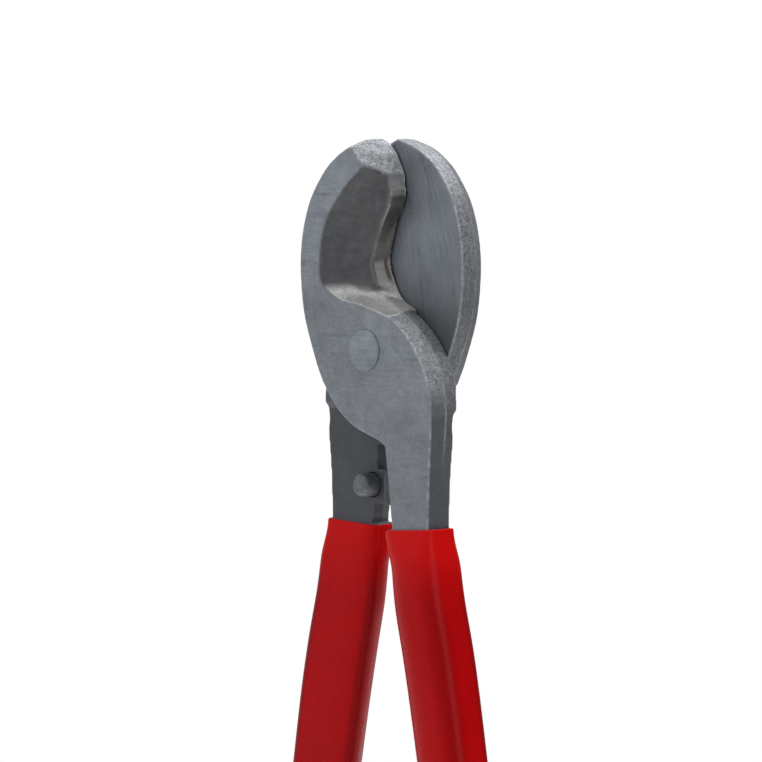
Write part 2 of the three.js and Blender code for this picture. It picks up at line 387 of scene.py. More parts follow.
def draw_tang(obj, side, sizes):
    """Draws the tang down inside the grip from the forging's flat lower end."""
    sign = SIDES[side]
    edit(obj)
    bpy.ops.mesh.select_all(action="DESELECT")
    bpy.ops.mesh.select_mode(type="FACE")
    mesh = bmesh.from_edit_mesh(obj.data)
    low = min(vert.co.z for vert in mesh.verts)
    for face in mesh.faces:
        at_end = face.calc_center_median().z < low + sizes.grain * 1.2
        face.select_set(at_end and face.normal.z < -0.8)
    bmesh.update_edit_mesh(obj.data)
    height, x = sizes.tang_cut, handle_x(sizes.tang_cut)
    for step in range(1, TANG_STEPS + 1):
        next_height = sizes.tang_cut + (sizes.tang_end - sizes.tang_cut) * step / TANG_STEPS
        next_x = handle_x(next_height)
        move = Vector(((next_x - x) * sign, 0, next_height - height))
        bpy.ops.mesh.extrude_region_move(TRANSFORM_OT_translate={"value": move})
        centre = PIVOT + Vector((next_x * sign, -HANDLE_DEPTH * sign, next_height))
        shrink = 0.94 if step == 1 else 0.995
        bpy.ops.transform.resize(value=(shrink, shrink, 1), center_override=centre)
        height, x = next_height, next_x
    bpy.ops.object.mode_set(mode="OBJECT")


def half_view(obj, side):
    """Vertex places in millimetres from the pivot, and normals, turned as the front half is."""
    sign = SIDES[side]
    places, normals = arrays(obj.data)
    local = (places - np.array(PIVOT)) / MM
    local[:, :2] *= sign
    normals[:, :2] *= sign
    return local, normals


def weigh(obj, name, weights):
    """Stores weights from 0 to 1 as a vertex group."""
    group = obj.vertex_groups.new(name=name)
    for index in np.flatnonzero(weights > 0.01):
        group.add([int(index)], float(weights[index]), "REPLACE")


def near(local, place, reach):
    """Weight that is 1 at a place and falls to 0 at a distance from it."""
    distance = np.sqrt(((local - np.array(place)) ** 2).sum(1))
    return 1 - smooth_step(reach * 0.5, reach, distance)


def worn_shape(obj, side, sizes, pattern):
    """Rounds the edges, softens the corners and brings the cutting edges back to full size."""
    local, _ = half_view(obj, side)
    x, y, z = local.T
    keen = smooth_step(-1.2, -0.5, y) * smooth_step(6, 9, z) * (x > -2.5) * (x < 9.5)
    weigh(obj, "keen", keen)
    corners = near(local, *SHOULDER) + 0.8 * near(local, *JAW_TIP)
    weigh(obj, "corners", np.clip(corners, 0, 1))
    apply_modifier(obj, "SMOOTH", factor=0.5, iterations=80, vertex_group="corners")
    apply_modifier(
        obj,
        "SMOOTH",
        factor=0.5,
        iterations=sizes.rounding,
        vertex_group="keen",
        invert_vertex_group=True,
    )
    apply_modifier(
        obj,
        "SHRINKWRAP",
        target=pattern,
        wrap_method="NEAREST_SURFACEPOINT",
        vertex_group="keen",
    )
    obj.vertex_groups.clear()
    local, _ = half_view(obj, side)
    lead = near(local * (1, 3, 0.5), *EDGE_HOLLOW) * EDGE_LEAD * SIDES[side]
    places, _ = arrays(obj.data)
    places[:, 0] += lead
    obj.data.vertices.foreach_set("co", places.ravel())
    obj.data.update()


def finish_masks(obj, side):
    """Stores where each finish, the painted light on the bevel's foot and the painted shade on the
    lower mating faces lie on a forged half, as numbers from 0 to 1 on its vertices.

    Places are in millimetres: x and z from the pivot, y from the shear plane, turned as the
    front half is, whose outer face looks along -Y.
    """
    places, normals = arrays(obj.data)
    local, facing = half_view(obj, side)
    x, y, z = local.T
    thickness = THICKNESS / MM
    ground = smooth_step(0.86, 0.97, -facing[:, 1])
    ground = ground * smooth_step(thickness - 0.6, thickness - 0.15, -y)
    mating = smooth_step(0.86, 0.97, facing[:, 1]) * smooth_step(-0.6, -0.3, y)
    axis_x, axis_z = WHEEL_AXIS[0] / MM - x, WHEEL_AXIS[1] / MM - z
    reach = np.hypot(axis_x, axis_z)
    inward = (facing[:, 0] * axis_x + facing[:, 2] * axis_z) / reach
    top = 40.9 - 0.55 * np.clip(x + 0.6, 0, 3.5)
    throat = (x < 8.3) & (z > 7.8) & (inward > 0.1)
    throat = throat * smooth_step(-0.4, 0.4, top - z) * (1 - ground) * (1 - mating)
    cutting = throat * smooth_step(-4.0, -3.6, y) * smooth_step(-1, 5, top - z)
    neck_face = smooth_step(0.6, 0.9, facing[:, 1]) * smooth_step(0.8, 1.2, -y)
    neck_inside = smooth_step(19, 20.5, -z) * smooth_step(-7.6, -7, y) * (x < 12)
    scale_wall = np.where(x > 0, 0.9 * smooth_step(5, 16, -z), 0.55 * smooth_step(-24, -8, -z))
    walls = (1 - ground) * (1 - mating) * (1 - throat)
    # Painted shade: the mating face is coloured as dark scale from 20 mm above the pivot downwards,
    # where the other half shades it; the forged mask carries this painted shade with the real scale.
    low_mating_shade = 0.75 * mating * smooth_step(-20, -5, -z)
    forged = np.maximum.reduce((neck_face, neck_inside, scale_wall * walls, low_mating_shade))
    sharp = edge_sharpness(obj.data, places, normals)
    ridge = walls * smooth_step(-0.35, -0.1, -np.abs(y + RIDGE_DEPTH))
    ridge = ridge * smooth_step(-26, -20, z) * ((z < 36) | (x < -7))
    edge = smooth_step(250, 1300, sharp) * (1 - 0.9 * np.maximum(neck_face, neck_inside))
    # Painted light: the upward-facing foot of the bevel, below 20 mm, is marked to be coloured
    # brighter, as the overhead light falls on it.
    painted_foot_light = 0.9 * throat * smooth_step(0.22, 0.55, facing[:, 2]) * (z < 20)
    masks = {
        "ground": ground,
        "mating": mating,
        "bevel": throat - cutting,
        "cutting": cutting,
        "painted_foot_light": painted_foot_light,
        "forged": forged,
        "ridge": ridge,
        "edge": edge,
    }
    for name, values in masks.items():
        store(obj.data, name, values)


def forged_half(side, sizes, material):
    """A forging with worn edges, its tang drawn out in one with it, and its finishes marked."""
    node = f"{side}_blade_half"
    piece = bpy.data.objects.new(node, frame["nodes"][node].data.copy())
    bpy.context.scene.collection.objects.link(piece)
    edit(piece)
    bpy.ops.mesh.remove_doubles(threshold=0.002 * MM)
    cut = PIVOT + Vector((0, 0, sizes.tang_cut))
    bpy.ops.mesh.bisect(plane_co=cut, plane_no=(0, 0, -1), use_fill=True, clear_outer=True)
    bpy.ops.object.mode_set(mode="OBJECT")
    pattern = piece.copy()
    pattern.data = piece.data.copy()
    bpy.context.scene.collection.objects.link(pattern)
    apply_modifier(piece, "REMESH", mode="VOXEL", voxel_size=sizes.grain, use_smooth_shade=True)
    worn_shape(piece, side, sizes, pattern)
    bpy.data.objects.remove(pattern)
    draw_tang(piece, side, sizes)
    finish_masks(piece, side)
    bpy.ops.object.shade_smooth()
    finished(piece, f"{side}_forging", f"{side}_half", node, material)


# ---------------------------------------------------------------- grips


def rounded_section(width, thickness, radius, slant, corner_points=8):
    """Section of a grip as (across, deep) pairs, with rounded corners and a slanted facet."""
    w, t = width / 2, thickness / 2
    facet = [(-w * (1 - 0.66 * slant), -t), (-w, -t * (1 - 1.18 * slant))]
    corners = [Vector(corner) for corner in [(w, t), (w, -t), *facet, (-w, t)]]
    points = []
    for i, corner in enumerate(corners):
        before, after = corners[i - 1], corners[(i + 1) % len(corners)]
        reach = radius * CORNER_REACH[i]
        start, end = (
            corner.lerp(other, min(reach / (other - corner).length, 0.45))
            for other in (before, after)
        )
        for step in range(corner_points):
            share = step / (corner_points - 1)
            points.append(start.lerp(corner, share).lerp(corner.lerp(end, share), share))
    return points


def grip_stations(sizes):
    """Rings of a grip: up its pocket from the foot, over the lip and down its outside to the end."""
    lip, end = sizes.lip_height, -PIVOT.z
    lip_width, lip_thickness = 15.3 * MM, 8.8 * MM
    wall, thin = sizes.coating, 0.75 * MM
    swell_height, end_round = 9 * MM, 7 * MM

    def outside(height, inset=0.0):
        swell = float(smooth_step(0, swell_height, lip - height))
        belly = smooth_step(0.070, 0.110, -height) - smooth_step(0.130, 0.175, -height)
        fullness = 1.1 * smooth_step(3 * MM, 24 * MM, lip - height)
        fullness = fullness * (1 - smooth_step(0.12, 0.165, -height))
        width = lip_width + (sizes.grip_width - lip_width) * swell + (fullness - 0.5 * belly) * MM
        thickness = lip_thickness + (sizes.grip_thickness - lip_thickness) * swell
        thickness = thickness - 0.5 * MM * belly
        closing = max(0.0, (end + end_round - height) / end_round)
        share = math.sqrt(max(1 - closing**2, 0.03))
        return {
            "height": height,
            "width": (width - 2 * inset) * share,
            "thickness": (thickness - 2 * inset) * share,
            "radius": max((2.4 + 2.6 * swell) * MM * share - inset * 2, 0.4 * MM),
            "slant": 0.42 + 0.58 * swell,
        }

    def pocket(height):
        swell = float(smooth_step(0, swell_height, lip - height))
        return outside(height, thin + (wall - thin) * swell)

    foot, belly_top = sizes.tang_end - 1.2 * MM, lip - swell_height
    inner = [pocket(height) for height in np.linspace(foot, belly_top, 12)]
    inner += [pocket(lip - swell_height * share) for share in (0.75, 0.5, 0.28, 0.12, 0.03)]
    roll = []
    for turn in np.linspace(0, math.pi, 7):
        ring = outside(lip, thin * (0.5 + 0.5 * math.cos(turn)))
        ring["height"] = lip + 0.45 * MM * math.sin(turn)
        roll.append(ring)
    shares = (0.04, 0.12, 0.25, 0.42, 0.6, 0.8, 1.0)
    upper = [outside(lip - swell_height * share) for share in shares]
    heights = np.linspace(belly_top - 4 * MM, end + end_round + 3 * MM, 30)
    lower = [outside(height) for height in heights]
    turns = np.linspace(0, math.pi / 2, 8)
    rounds = [outside(end + end_round * (1 - math.sin(turn))) for turn in turns]
    return inner + roll + upper + lower + rounds


def place_ring(station, side, sizes):
    """A station's ring of points in the tool's frame."""
    sign = SIDES[side]
    centre = handle_x(station["height"])
    shape = (station[name] for name in ("width", "thickness", "radius", "slant"))
    ring = []
    for across, deep in rounded_section(*shape):
        height = station["height"] + across * sizes.lip_tilt
        place = Vector(((centre + across) * sign, (deep - HANDLE_DEPTH) * sign, height))
        ring.append(PIVOT + place)
    return ring


def ring_key(place):
    """A place as whole numbers, by which a vertex is known again."""
    return tuple(round(value * 1e7) for value in place)


def grip(side, sizes, material):
    """A dipped grip, drawn as one skin: up the pocket, over the lip and down to the closed end."""
    stations = grip_stations(sizes)
    ring = place_ring(stations[0], side, sizes)
    deselect_all()
    bpy.ops.mesh.primitive_circle_add(
        vertices=len(ring), radius=MM, fill_type="NGON", location=(0, 0, 0)
    )
    piece = bpy.context.object
    for vert, place in zip(piece.data.vertices, ring):
        vert.co = place
    edit(piece)
    for station in stations[1:]:
        bpy.ops.mesh.extrude_region_move(TRANSFORM_OT_translate={"value": (0, 0, 0)})
        where = {ring_key(place): i for i, place in enumerate(ring)}
        next_ring = place_ring(station, side, sizes)
        mesh = bmesh.from_edit_mesh(piece.data)
        for vert in mesh.verts:
            if vert.select:
                vert.co = next_ring[where[ring_key(vert.co)]]
        bmesh.update_edit_mesh(piece.data)
        ring = [Vector([np.float32(value) for value in place]) for place in next_ring]
    bpy.ops.mesh.select_all(action="SELECT")
    bpy.ops.mesh.normals_make_consistent(inside=False)
    bpy.ops.object.mode_set(mode="OBJECT")
    apply_modifier(piece, "SUBSURF", levels=2, render_levels=2)
    ripple(piece, sizes)
    bpy.ops.object.shade_smooth()
    body, node = f"{side}_half", f"{side}_grip"
    finished(piece, f"{side}_dipped_grip", body, node, material)


def ripple(piece, sizes):
    """The slow unevenness of a dipped coating, with masks for the painted shade on its corners and
    for where it thins near the lip.
    """
    places, normals = arrays(piece.data)
    heights = places[:, 2] - PIVOT.z
    fade = smooth_step(0, 6 * MM, sizes.lip_height - heights)
    wave = np.array([noise.noise(Vector((p[0] * 90, p[1] * 90, p[2] * 45))) for p in places])
    shift = (wave * fade * sizes.ripple)[:, None] * normals
    sharp = edge_sharpness(piece.data, places, normals)
    # Painted shade: the grip's convex corners and creases are marked to be coloured darker.
    store(piece.data, "corner", smooth_step(25, 170, sharp) * fade)
    store(piece.data, "thin", smooth_step(-18 * MM, 0, heights - sizes.lip_height))
    piece.data.vertices.foreach_set("co", (places + shift).ravel())
    piece.data.update()


# ---------------------------------------------------------------- rivet and pins


def ring_bevel(piece, height, width, segments=3):
    """Bevels the edge loops that lie at a given depth along Y."""
    edit(piece)
    bpy.ops.mesh.select_all(action="DESELECT")
    mesh = bmesh.from_edit_mesh(piece.data)
    for edge in mesh.edges:
        depths = [vert.co.y for vert in edge.verts]
        edge.select_set(all(abs(depth - height) < 0.02 * MM for depth in depths))
    bmesh.update_edit_mesh(piece.data)
    bpy.ops.mesh.bevel(offset=width, segments=segments, affect="EDGES")
    bpy.ops.object.mode_set(mode="OBJECT")


def rod(radius, low, high, x, z, vertices):
    """A plain rod along Y between two depths."""
    deselect_all()
    bpy.ops.mesh.primitive_cylinder_add(
        vertices=vertices,
        radius=radius,
        depth=high - low,
        location=(x, (low + high) / 2, z),
        rotation=(math.pi / 2, 0, 0),
    )
    piece = bpy.context.object
    settle(piece)
    return piece


def rivet(material):
    """The rivet: a narrower shank between two heads, ground off just below the outer faces."""
    low, high = RIVET_BOX
    radius = (high[0] - low[0]) / 2 + 0.2 * MM
    ends = THICKNESS - 0.02 * MM
    piece = rod(radius, -ends, ends, PIVOT.x, PIVOT.z, 128)
    edit(piece)
    for depth in (-HEAD_START, -SHANK_END, SHANK_END, HEAD_START):
        bpy.ops.mesh.select_all(action="SELECT")
        bpy.ops.mesh.bisect(plane_co=(0, depth * THICKNESS, 0), plane_no=(0, 1, 0))
    bpy.ops.mesh.select_all(action="DESELECT")
    mesh = bmesh.from_edit_mesh(piece.data)
    for vert in mesh.verts:
        vert.select_set(abs(vert.co.y) < (SHANK_END + HEAD_START) / 2 * THICKNESS)
    mesh.select_flush(True)
    bmesh.update_edit_mesh(piece.data)
    bpy.ops.transform.resize(value=(SHANK_WIDTH, 1, SHANK_WIDTH), center_override=PIVOT)
    bpy.ops.object.mode_set(mode="OBJECT")
    for depth in (-ends, ends):
        ring_bevel(piece, depth, 0.14 * MM, 2)
    only(piece)
    bpy.ops.object.shade_smooth_by_angle(angle=math.radians(12))
    finished(piece, "flush_rivet", "front_half", "pivot_rivet", material)


def stop_pin(side, material):
    """A short pressed-in pin with a rounded, slightly uneven end."""
    low, high = PIN_BOX
    sign = SIDES[side]
    radius = (high[0] - low[0]) / 2
    x, z = (low[0] + high[0]) / 2, (low[2] + high[2]) / 2
    ends = sorted((low[1] * sign, high[1] * sign))
    piece = rod(radius, ends[0], ends[1], x * sign, z, 64)
    tip = high[1] * sign
    ring_bevel(piece, tip, PIN_ROUND, 6)
    edit(piece)
    for depth in (0.12, 0.3, 0.5, 0.7, 0.88):
        bpy.ops.mesh.select_all(action="SELECT")
        cut = (0, ends[0] + (ends[1] - ends[0]) * depth, 0)
        bpy.ops.mesh.bisect(plane_co=cut, plane_no=(0, 1, 0))
    bpy.ops.mesh.select_all(action="DESELECT")
    bpy.ops.mesh.select_mode(type="FACE")
    mesh = bmesh.from_edit_mesh(piece.data)
    for face in mesh.faces:
        face.select_set(face.normal.y * sign > 0.99)
    bmesh.update_edit_mesh(piece.data)
    for inset in (0.2, 0.35, 0.4, 0.4):
        bpy.ops.mesh.inset(thickness=inset * MM)
    bpy.ops.object.mode_set(mode="OBJECT")
    places, normals = arrays(piece.data)
    bumps = np.array([noise.noise(Vector(place) * 650) for place in places])
    moved = places + normals * (bumps * PIN_BUMPS)[:, None]
    piece.data.vertices.foreach_set("co", moved.ravel())
    piece.data.update()
    only(piece)
    bpy.ops.object.shade_smooth_by_angle(angle=math.radians(40))
    body, node = f"{side}_half", f"{side}_stop_pin"
    finished(piece, f"{side}_pressed_pin", body, node, material)


# ---------------------------------------------------------------- shader groups


class Wiring:
    """Adds nodes and links to one node tree."""

    def __init__(self, tree):
        self.tree = tree

    def add(self, kind, inputs=None, **settings):
        made = self.tree.nodes.new(kind)
        for name, value in settings.items():
            setattr(made, name, value)
        for name, value in (inputs or {}).items():
            self.feed(made.inputs[name], value)
        return made

    def feed(self, socket, value):
        if isinstance(value, bpy.types.NodeSocket):
            self.tree.links.new(value, socket)
        else:
            socket.default_value = value

    def noise(self, vector, scale, detail, roughness=0.5):
        inputs = {"Vector": vector, "Scale": scale, "Detail": detail, "Roughness": roughness}
        return self.add("ShaderNodeTexNoise", inputs).outputs["Fac"]

    def math(self, operation, a, b=0.0, clamp=False):
        made = self.add("ShaderNodeMath", {0: a, 1: b}, operation=operation, use_clamp=clamp)
        return made.outputs[0]

    def mix(self, share, a, b):
        made = self.add("ShaderNodeMix", data_type="RGBA")
        for index, value in ((0, share), (6, a), (7, b)):
            self.feed(made.inputs[index], value)
        return made.outputs[2]

    def blend(self, share, a, b):
        return self.add("ShaderNodeMix", {0: share, 2: a, 3: b}, data_type="FLOAT").outputs[0]

    def span(self, value, from_low, from_high, to_low, to_high):
        inputs = {0: value, 1: from_low, 2: from_high, 3: to_low, 4: to_high}
        return self.add("ShaderNodeMapRange", inputs, clamp=True).outputs[0]

    def attribute(self, name):
        return self.add("ShaderNodeAttribute", attribute_name=name).outputs["Fac"]

    def group(self, tree, inputs):
        made = self.add("ShaderNodeGroup", node_tree=tree)
        for name, value in inputs.items():
            self.feed(made.inputs[name], value)
        return made.outputs

    def vector(self, operation, a, b):
        return self.add("ShaderNodeVectorMath", {0: a, 1: b}, operation=operation).outputs[0]

    def bump(self, height, strength, distance):
        inputs = {"Strength": strength, "Distance": distance, "Height": height}
        return self.add("ShaderNodeBump", inputs).outputs[0]


def new_group(name, inputs, outputs):
    """An empty shader group: its tree, its wiring, what it is given and what it puts out."""
    tree = bpy.data.node_groups.new(name, "ShaderNodeTree")
    for socket, kind in inputs.items():
        tree.interface.new_socket(socket, in_out="INPUT", socket_type=f"NodeSocket{kind}")
    for socket in outputs:
        tree.interface.new_socket(socket, in_out="OUTPUT", socket_type="NodeSocketFloat")
    wiring = Wiring(tree)
    return tree, wiring, wiring.add("NodeGroupInput").outputs, wiring.add("NodeGroupOutput").inputs


def grind_marks():
    """Fine parallel marks: streaks that are long one way and thin across, with a few deep ones."""
    inputs = {"Vector": "Vector", "Stretch": "Vector"}
    tree, w, given, out = new_group("Grind Marks", inputs, ("Tone", "Height"))
    along = w.vector("MULTIPLY", given["Vector"], given["Stretch"])
    fine = w.noise(along, 1.0, 4.0, 0.65)
    broad = w.noise(along, 0.28, 2.0)
    deep = w.span(broad, 0.58, 0.72, 0.0, 1.0)
    patches = w.noise(given["Vector"], 110.0, 3.0)
    presence = w.span(patches, 0.38, 0.62, 0.15, 1.0)
    marks = w.math("SUBTRACT", w.math("SUBTRACT", fine, 0.5), w.math("MULTIPLY", deep, 0.3))
    marks = w.math("MULTIPLY", marks, presence)
    w.feed(out["Tone"], w.math("ADD", marks, 0.5, clamp=True))
    w.feed(out["Height"], marks)
    return tree


def blasted_grain():
    """The pebbled, speckled skin that shot blasting leaves."""
    inputs = {"Vector": "Vector", "Scale": "Float"}
    tree, w, given, out = new_group("Blasted Grain", inputs, ("Tone", "Height"))
    pebble = w.noise(given["Vector"], given["Scale"], 3.0)
    spots = {"Vector": given["Vector"], "Scale": given["Scale"]}
    pits = w.add("ShaderNodeTexVoronoi", spots, feature="F1")
    dimple = w.span(pits.outputs["Distance"], 0.1, 0.75, 0.0, 1.0)
    wide = w.add("ShaderNodeVectorMath", {0: given["Vector"], "Scale": 0.42}, operation="SCALE")
    blotch = w.noise(wide.outputs[0], given["Scale"], 3.0)
    height = w.math("ADD", w.math("MULTIPLY", pebble, 0.75), w.math("MULTIPLY", dimple, 0.25))
    tone = w.math("ADD", height, w.math("MULTIPLY", blotch, 0.6))
    w.feed(out["Tone"], w.span(tone, 0.6, 1.15, 0.0, 1.0))
    w.feed(out["Height"], height)
    return tree


def patina():
    """Slow cloudy change of tone over a piece."""
    tree, w, given, out = new_group("Patina", {"Vector": "Vector", "Scale": "Float"}, ("Tone",))
    cloud = w.noise(given["Vector"], given["Scale"], 5.0, 0.6)
    w.feed(out["Tone"], w.span(cloud, 0.3, 0.7, 0.0, 1.0))
    return tree


def worn_edge():
    """Wear along convex edges, broken up so that it comes and goes."""
    inputs = {"Edge": "Float", "Vector": "Vector", "Amount": "Float"}
    tree, w, given, out = new_group("Worn Edge", inputs, ("Mask",))
    chips = w.noise(given["Vector"], 900.0, 3.0)
    runs = w.noise(given["Vector"], 160.0, 2.0)
    broken = w.math("MULTIPLY", w.span(chips, 0.35, 0.6, 0.35, 1.0), given["Edge"])
    broken = w.math("MULTIPLY", broken, w.span(runs, 0.35, 0.65, 0.35, 1.0))
    w.feed(out["Mask"], w.math("MULTIPLY", broken, given["Amount"], clamp=True))
    return tree


# ---------------------------------------------------------------- materials


def new_material(name):
    material = bpy.data.materials.new(name)
    material.use_nodes = True
    tree = material.node_tree
    shader = next(node for node in tree.nodes if node.type == "BSDF_PRINCIPLED")
    return material, Wiring(tree), shader


def opaque(colour):
    return (*colour, 1.0)


def tinted(colour, red, green, blue):
    """A colour with each of its parts multiplied, opaque."""
    return (colour[0] * red, colour[1] * green, colour[2] * blue, 1.0)


def shaded(w, colour, tone, low, high):
    """A colour made darker or lighter by a tone from 0 to 1."""
    level = w.span(tone, 0.0, 1.0, low, high)
    inputs = {0: tuple(colour), "Scale": level}
    return w.add("ShaderNodeVectorMath", inputs, operation="SCALE").outputs[0]


def arc_vector(w, place, centre_x, centre_z):
    """Coordinates that run round a point beside the tool: radius, angle and depth."""
    offset = w.vector("SUBTRACT", place, (centre_x, 0.0, centre_z))
    x, y, z = w.add("ShaderNodeSeparateXYZ", {0: offset}).outputs
    radius = w.math("SQRT", w.math("ADD", w.math("MULTIPLY", x, x), w.math("MULTIPLY", z, z)))
    angle = w.math("ARCTAN2", z, x)
    return w.add("ShaderNodeCombineXYZ", {0: radius, 1: angle, 2: y}).outputs[0]


def ground_surface(w, place, colours, groups):
    """A flat ground face: its marks, its mottled colour, and the slow and fine tones in it."""
    face = w.group(groups["grind"], {"Vector": place, "Stretch": FACE_MARKS})
    cloud = w.group(groups["patina"], {"Vector": place, "Scale": 70.0})["Tone"]
    scale = w.group(groups["patina"], {"Vector": place, "Scale": 420.0})["Tone"]
    slow = shaded(w, colours.ground, cloud, 0.45, 1.45)
    mottle = w.mix(0.5, slow, shaded(w, colours.ground, scale, 0.45, 1.55))
    colour = w.mix(0.5, shaded(w, colours.ground, face["Tone"], 0.0, 2.0), mottle)
    return face, colour, cloud, scale


def steel_material(name, side, colours, groups):
    """The forged half's steel, with a finish for each of its stored masks, among them painted light
    on the bevel's foot and painted shade on the lower mating faces.
    """
    material, w, shader = new_material(name)
    place = w.add("ShaderNodeTexCoord").outputs["Object"]
    sign = SIDES[side]
    face, ground, cloud, scale = ground_surface(w, place, colours, groups)
    swing = arc_vector(w, place, SWING_AXIS * sign, PIVOT.z)
    arcs = w.group(groups["grind"], {"Vector": swing, "Stretch": MATING_MARKS})
    hollow = arc_vector(w, place, WHEEL_AXIS[0] * sign, PIVOT.z + WHEEL_AXIS[1])
    sweeps = w.group(groups["grind"], {"Vector": hollow, "Stretch": BEVEL_MARKS})
    blast = w.group(groups["blast"], {"Vector": place, "Scale": 1900.0})

    def toned(share, colour, first, first_span, second, second_span):
        """Two shadings of one colour in one, with the second's share."""
        shadings = (shaded(w, colour, first, *first_span), shaded(w, colour, second, *second_span))
        return w.mix(share, *shadings)

    speckle = blast["Tone"]
    mating = toned(0.4, colours.ground, arcs["Tone"], (-0.1, 1.65), cloud, (0.35, 1.1))
    bevel = toned(0.5, colours.bevel, sweeps["Tone"], (0.5, 1.5), scale, (0.6, 1.45))
    cutting = shaded(w, colours.cutting, cloud, 0.55, 1.45)
    wall = toned(0.3, colours.blasted, speckle, (0.4, 1.85), cloud, (0.8, 1.2))
    # The forged finish also paints shade on the lower mating faces.
    forged = toned(0.5, colours.forged, scale, (0.75, 1.25), cloud, (0.8, 1.2))
    # Painted light: a bright copy of the steel for the bevel's top-lit foot.
    painted_foot_light = toned(0.5, colours.painted_foot_light, speckle, (0.55, 1.5), cloud, (0.6, 1.3))

    names = ("ground", "mating", "bevel", "cutting", "painted_foot_light", "forged", "ridge", "edge")
    masks = {name: w.attribute(name) for name in names}
    colour, rough, metal = wall, 0.62, 0.75
    finishes = (  # mask, colour, roughness and metal of each finish that lies over the walls
        ("ground", ground, 0.46, 0.75),
        ("mating", mating, 0.42, 0.8),
        # The forged finish also carries the painted shade on the lower mating faces.
        ("forged", forged, 0.58, 0.35),
        ("bevel", bevel, 0.5, 0.7),
        ("cutting", cutting, 0.32, 0.9),
        # Painted light on the bevel's top-lit foot.
        ("painted_foot_light", painted_foot_light, 0.5, 0.7),
    )
    for mask, finish, finish_rough, finish_metal in finishes:
        colour = w.mix(masks[mask], colour, finish)
        rough = w.blend(masks[mask], rough, finish_rough)
        metal = w.blend(masks[mask], metal, finish_metal)
    line = w.math("MAXIMUM", masks["edge"], w.math("MULTIPLY", masks["ridge"], 0.8))
    wear = w.group(groups["wear"], {"Edge": line, "Vector": place, "Amount": 0.6})["Mask"]
    w.feed(shader.inputs["Base Color"], w.mix(wear, colour, opaque(colours.worn)))
    streaks = w.math("MULTIPLY", w.math("SUBTRACT", face["Tone"], 0.5), 0.22)
    w.feed(shader.inputs["Roughness"], w.math("ADD", rough, streaks, clamp=True))
    w.feed(shader.inputs["Metallic"], metal)

    flat = w.math("ADD", masks["ground"], masks["mating"])
    throat = w.math("ADD", masks["bevel"], masks["cutting"])
    walls = w.math("SUBTRACT", 1.0, w.math("ADD", flat, throat, clamp=True))
    pebbles = w.math("MULTIPLY", walls, w.span(masks["forged"], 0.0, 1.0, 1.0, 0.3))
    height = w.math("MULTIPLY", face["Height"], masks["ground"])
    height = w.math("ADD", height, w.math("MULTIPLY", arcs["Height"], masks["mating"]))
    faint = w.math("MULTIPLY", masks["bevel"], 0.6)
    height = w.math("ADD", height, w.math("MULTIPLY", sweeps["Height"], faint))
    height = w.math("MULTIPLY", height, 0.35)
    height = w.math("ADD", height, w.math("MULTIPLY", blast["Height"], pebbles))
    w.feed(shader.inputs["Normal"], w.bump(height, 0.55, 0.00012))
    return material


def rivet_material(colours, groups):
    """Ground flush with the face, so its marks run on from the forging's."""
    material, w, shader = new_material("ground_rivet")
    place = w.add("ShaderNodeTexCoord").outputs["Object"]
    face, ground, _, _ = ground_surface(w, place, colours, groups)
    w.feed(shader.inputs["Base Color"], ground)
    w.feed(shader.inputs["Roughness"], w.span(face["Tone"], 0.0, 1.0, 0.38, 0.54))
    shader.inputs["Metallic"].default_value = 0.75
    w.feed(shader.inputs["Normal"], w.bump(face["Height"], 0.5, 0.00004))
    return material


def pin_material(colours, groups):
    """Lighter, finely blasted steel with a warm cast."""
    material, w, shader = new_material("blasted_pin")
    place = w.add("ShaderNodeTexCoord").outputs["Object"]
    blast = w.group(groups["blast"], {"Vector": place, "Scale": 1700.0})
    cloud = w.group(groups["patina"], {"Vector": place, "Scale": 300.0})["Tone"]
    cool = shaded(w, colours.ground, blast["Tone"], 0.45, 0.85)
    # The pin's warm cast borrows the colour of the painted light on the bevel's foot.
    colour = w.mix(0.3, cool, shaded(w, colours.painted_foot_light, cloud, 0.25, 0.5))
    w.feed(shader.inputs["Base Color"], colour)
    w.feed(shader.inputs["Roughness"], w.span(blast["Tone"], 0.0, 1.0, 0.66, 0.48))
    shader.inputs["Metallic"].default_value = 0.7
    w.feed(shader.inputs["Normal"], w.bump(blast["Height"], 0.6, 0.0001))
    return material


def vinyl_material(colours, groups):
    """Dipped vinyl: painted shade over its corners and creases, paler where it thins, with orange
    peel and dull rubs.
    """
    material, w, shader = new_material("dipped_vinyl")
    place = w.add("ShaderNodeTexCoord").outputs["Object"]
    cloud = w.group(groups["patina"], {"Vector": place, "Scale": 28.0})["Tone"]
    fine = w.group(groups["patina"], {"Vector": place, "Scale": 260.0})["Tone"]
    rubs = w.group(groups["grind"], {"Vector": place, "Stretch": (500.0, 500.0, 60.0)})["Tone"]
    colour = shaded(w, colours.grip, cloud, 0.86, 1.1)
    # Painted shade: a darker, deeper red along the corners and creases.
    colour = w.mix(w.attribute("corner"), colour, tinted(colours.grip, 0.62, 0.2, 0.4))
    colour = w.mix(w.attribute("thin"), colour, tinted(colours.grip, 1.38, 2.5, 1.4))
    dusty = w.mix(w.span(rubs, 0.6, 0.85, 0.0, 0.06), colour, (0.55, 0.05, 0.04, 1.0))
    w.feed(shader.inputs["Base Color"], dusty)
    dull = w.span(rubs, 0.5, 0.8, 0.0, 0.14)
    w.feed(shader.inputs["Roughness"], w.math("ADD", w.span(fine, 0.0, 1.0, 0.24, 0.33), dull))
    shader.inputs["Specular IOR Level"].default_value = 0.06
    shader.inputs["Coat Weight"].default_value = 0.03
    shader.inputs["Coat Roughness"].default_value = 0.35
    w.feed(shader.inputs["Normal"], w.bump(fine, 0.25, 0.0001))
    return material


